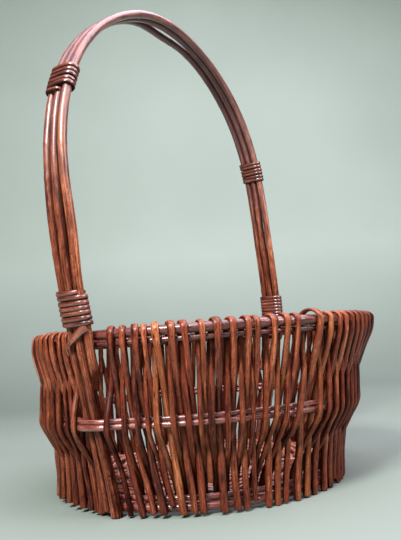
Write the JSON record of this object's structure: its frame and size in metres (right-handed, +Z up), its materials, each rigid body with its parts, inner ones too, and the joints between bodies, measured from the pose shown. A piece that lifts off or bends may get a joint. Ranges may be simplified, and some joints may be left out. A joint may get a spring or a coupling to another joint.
{
  "type": "woven wicker basket",
  "caption": "Round willow basket with an upright hairpin-rod wall woven through hoops at rim, middle and base, a woven stick floor and a tall fixed arched handle of bound rods.",
  "frame": {"origin": "on the standing plane, under the middle of the whole basket", "axes": "+Z up; the handle arches close to the YZ plane, from the -Y side of the rim over to the +Y side; +X is square to the handle"},
  "size_m": [0.3286, 0.3556, 0.4697],
  "materials": {
    "willow_wall": "stained and varnished willow rod, glossy",
    "willow_hoops": "stained and varnished willow rod, glossy",
    "willow_handle": "stained and varnished willow rod, glossy",
    "willow_binding": "stained and varnished thin willow, glossy",
    "willow_floor": "stained and varnished willow, satin"
  },
  "bodies": {
    "root": {"base_hoop_lower": "willow_hoops", "base_hoop_upper": "willow_hoops", "base_stick_pierced_1": "willow_floor", "base_stick_pierced_2": "willow_floor", "base_stick_pierced_3": "willow_floor", "base_stick_through_1": "willow_floor", "base_stick_through_2": "willow_floor", "base_stick_through_3": "willow_floor", "floor_weave_inner": "willow_floor", "floor_weave_middle": "willow_floor", "floor_weave_outer": "willow_floor", "handle_binding_far_lower": "willow_binding", "handle_binding_far_upper": "willow_binding", "handle_binding_near_lower": "willow_binding", "handle_binding_near_upper": "willow_binding", "handle_rod_left": "willow_handle", "handle_rod_middle": "willow_handle", "handle_rod_right": "willow_handle", "handle_tie_far": "willow_binding", "handle_tie_near": "willow_binding", "middle_hoop_lower": "willow_hoops", "middle_hoop_upper": "willow_hoops", "rim_hoop": "willow_hoops", "under_rim_rod": "willow_hoops", "wall_rods_left_01": "willow_wall", "wall_rods_left_02": "willow_wall", "wall_rods_left_03": "willow_wall", "wall_rods_left_04": "willow_wall", "wall_rods_left_05": "willow_wall", "wall_rods_left_06": "willow_wall", "wall_rods_left_07": "willow_wall", "wall_rods_left_08": "willow_wall", "wall_rods_left_09": "willow_wall", "wall_rods_left_10": "willow_wall", "wall_rods_right_01": "willow_wall", "wall_rods_right_02": "willow_wall", "wall_rods_right_03": "willow_wall", "wall_rods_right_04": "willow_wall", "wall_rods_right_05": "willow_wall", "wall_rods_right_06": "willow_wall", "wall_rods_right_07": "willow_wall", "wall_rods_right_08": "willow_wall", "wall_rods_right_09": "willow_wall", "wall_rods_right_10": "willow_wall"}
  },
  "joints": []
}
